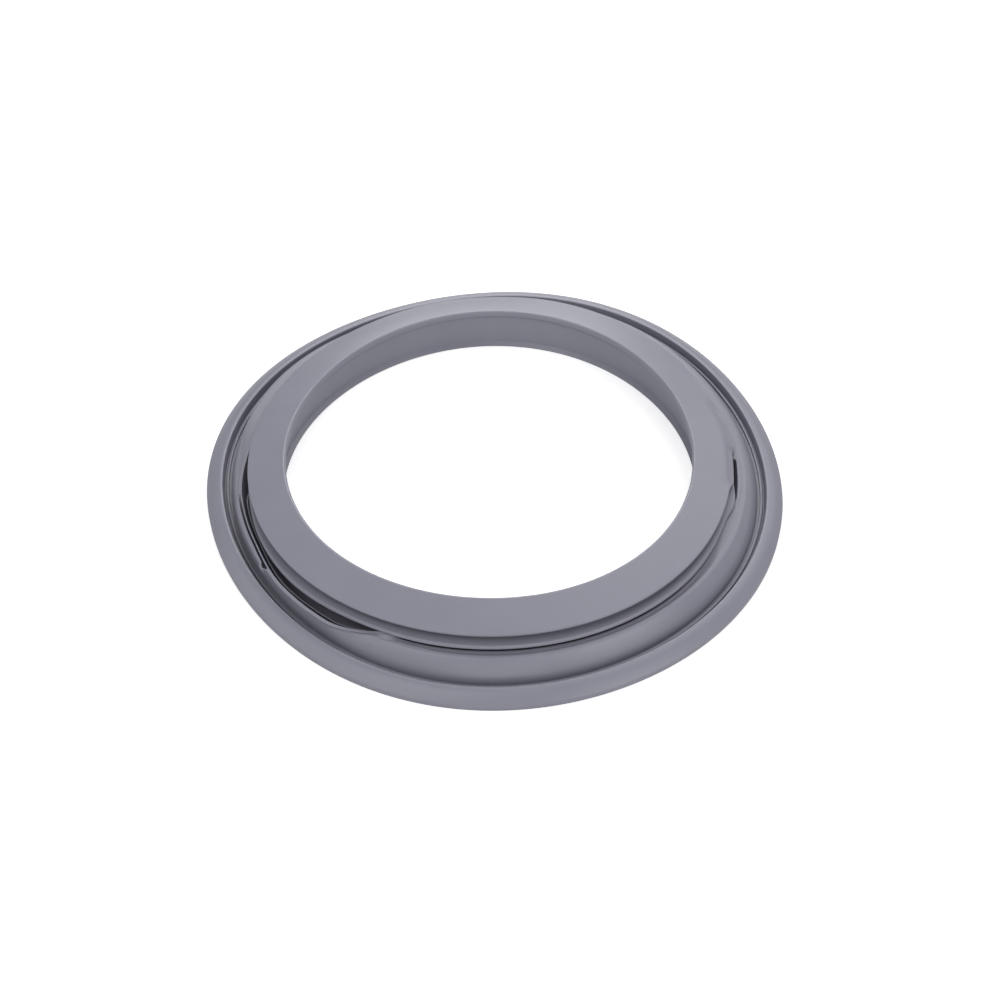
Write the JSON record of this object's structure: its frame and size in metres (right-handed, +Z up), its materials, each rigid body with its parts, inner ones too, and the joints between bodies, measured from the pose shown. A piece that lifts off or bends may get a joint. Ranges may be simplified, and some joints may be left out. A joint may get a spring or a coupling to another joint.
{
  "type": "washing machine door seal",
  "caption": "Moulded rubber door seal for a front-loading washing machine: tub rim with a bead channel, bellows fold, clamp ledge and groove, conical door flange and inner wall.",
  "frame": {"origin": "middle of the seal's box, on the surface that its tub side lies on", "axes": "+Z up through the ring, from the tub side to the door side; -Y towards the picture's viewer; +X to the picture's right"},
  "size_m": [0.3906, 0.3908, 0.0309],
  "materials": {
    "seal_rubber": "matte grey EPDM rubber with a soft sheen"
  },
  "bodies": {
    "root": {"door_seal": "seal_rubber"}
  },
  "joints": []
}
